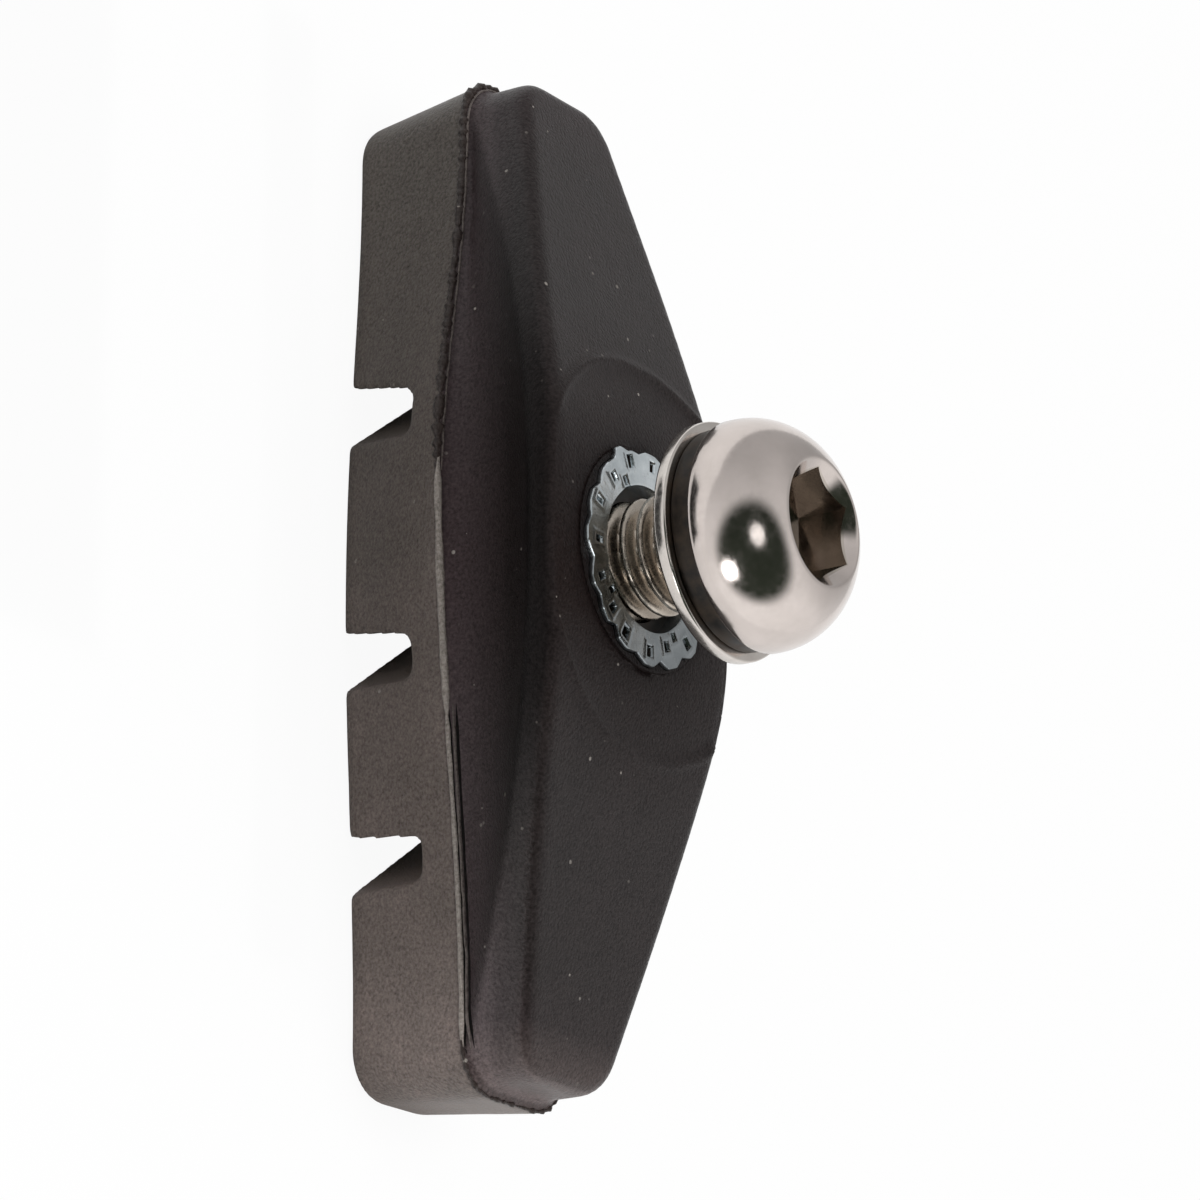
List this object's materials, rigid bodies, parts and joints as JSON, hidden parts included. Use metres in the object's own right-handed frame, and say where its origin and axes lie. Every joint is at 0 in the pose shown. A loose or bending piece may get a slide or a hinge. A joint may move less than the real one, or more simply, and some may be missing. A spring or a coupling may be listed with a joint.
{
  "type": "bicycle rim brake pad",
  "caption": "Moulded rubber rim brake pad with slanted grooves across its braking face, a toothed steel insert in its back and a domed hex socket bolt with washers for the caliper arm.",
  "frame": {"origin": "on the bolt axis, in the plane of the braking face", "axes": "+X along the pad, +Y across it, +Z along the bolt from the braking face to the bolt's head"},
  "size_m": [0.053, 0.0162, 0.0256],
  "materials": {
    "rubber": "satin",
    "zinc": "satin",
    "bright_plate": "polished",
    "dark_steel": "satin",
    "chrome": "polished"
  },
  "bodies": {
    "root": {"brake_block": "rubber", "threaded_insert": "zinc", "flat_washer": "bright_plate", "lock_washer": "dark_steel", "clamp_bolt": "chrome"}
  },
  "joints": []
}
